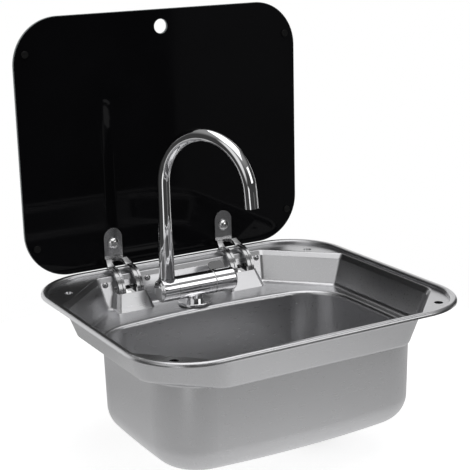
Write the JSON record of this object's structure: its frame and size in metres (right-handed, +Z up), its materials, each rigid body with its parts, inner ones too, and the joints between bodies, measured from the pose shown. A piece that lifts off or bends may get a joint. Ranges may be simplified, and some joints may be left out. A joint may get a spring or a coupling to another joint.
{
  "type": "sink with glass lid",
  "caption": "Compact drop-in steel sink with a hinged black glass lid, a fold-down swan-neck tap on its back ledge and a strainer waste.",
  "frame": {"origin": "middle of the sink's rim, level with the worktop's top face that the rim rests on", "axes": "+X to the right seen from the front, +Y to the back edge where the lid is hinged, +Z up; the lid stands open at rest"},
  "size_m": [0.42, 0.3896, 0.516],
  "materials": {
    "satin_steel": "satin stainless sheet, fine drawn grain",
    "dark_glass": "black toughened glass, polished edge",
    "brushed_steel": "brushed stainless",
    "plated_steel": "zinc plated",
    "bright_steel": "polished stainless",
    "mirror_chrome": "mirror chrome plate",
    "brass": "machined",
    "black_rubber": "matt",
    "pale_nylon": "moulded",
    "black_plastic": "moulded"
  },
  "bodies": {
    "root": {"sink_pressing": "satin_steel", "rim_seal": "black_rubber", "hinge_bracket_left": "plated_steel", "hinge_bracket_right": "plated_steel", "hinge_pin_left": "plated_steel", "hinge_pin_right": "plated_steel", "hinge_spacers": "pale_nylon", "hinge_rivets": "bright_steel", "tap_gasket": "black_rubber", "tap_flange": "mirror_chrome", "tap_shank": "brass", "tap_back_washer": "plated_steel", "tap_backnut": "brass", "tap_body": "mirror_chrome", "tap_cartridge": "brass", "tap_ring": "mirror_chrome", "waste_flange": "bright_steel", "waste_gasket": "black_rubber", "waste_nut": "black_plastic", "waste_spigot": "black_plastic"},
    "lid": {"glass_lid": "dark_glass", "lid_bumpers": "black_rubber", "hinge_arm_left": "brushed_steel", "hinge_arm_right": "brushed_steel", "lid_bolts": "bright_steel", "lid_washers": "bright_steel", "lid_pads": "black_rubber", "glass_hole_sleeves": "pale_nylon", "lid_cap_nuts": "bright_steel"},
    "spout_base": {"spout_sleeve": "mirror_chrome", "barrel_end_cap": "mirror_chrome"},
    "spout": {"spout_tube": "mirror_chrome", "spout_aerator": "pale_nylon", "spout_o_ring": "black_rubber"},
    "handle": {"tap_handle": "mirror_chrome", "handle_lever": "mirror_chrome"},
    "plug": {"waste_plug": "black_rubber"}
  },
  "joints": [
    {"name": "lid_hinge", "type": "hinge", "parent": "root", "child": "lid", "pos_m": [0, 0.173, -0.0205], "axis": [1, 0, 0], "range_deg": [0, 90]},
    {"name": "spout_fold", "type": "hinge", "parent": "root", "child": "spout_base", "pos_m": [-0.0446, 0.1165, -0.0144], "axis": [1, 0, 0], "range_deg": [0, 90]},
    {"name": "spout_swivel", "type": "hinge", "parent": "spout_base", "child": "spout", "pos_m": [-0.0446, 0.1165, 0], "axis": [0, 0, 1], "range_deg": [0, 67]},
    {"name": "handle_turn", "type": "hinge", "parent": "root", "child": "handle", "pos_m": [0.034, 0.1165, -0.0144], "axis": [-1, 0, 0], "range_deg": [0, 50]},
    {"name": "plug_lift", "type": "slide", "parent": "root", "child": "plug", "axis": [0, 0, 1], "range_m": [0, 0.02]}
  ],
  "couplings": [
    {"joint": "spout_fold", "follows": "lid_hinge", "ratio": 1}
  ]
}
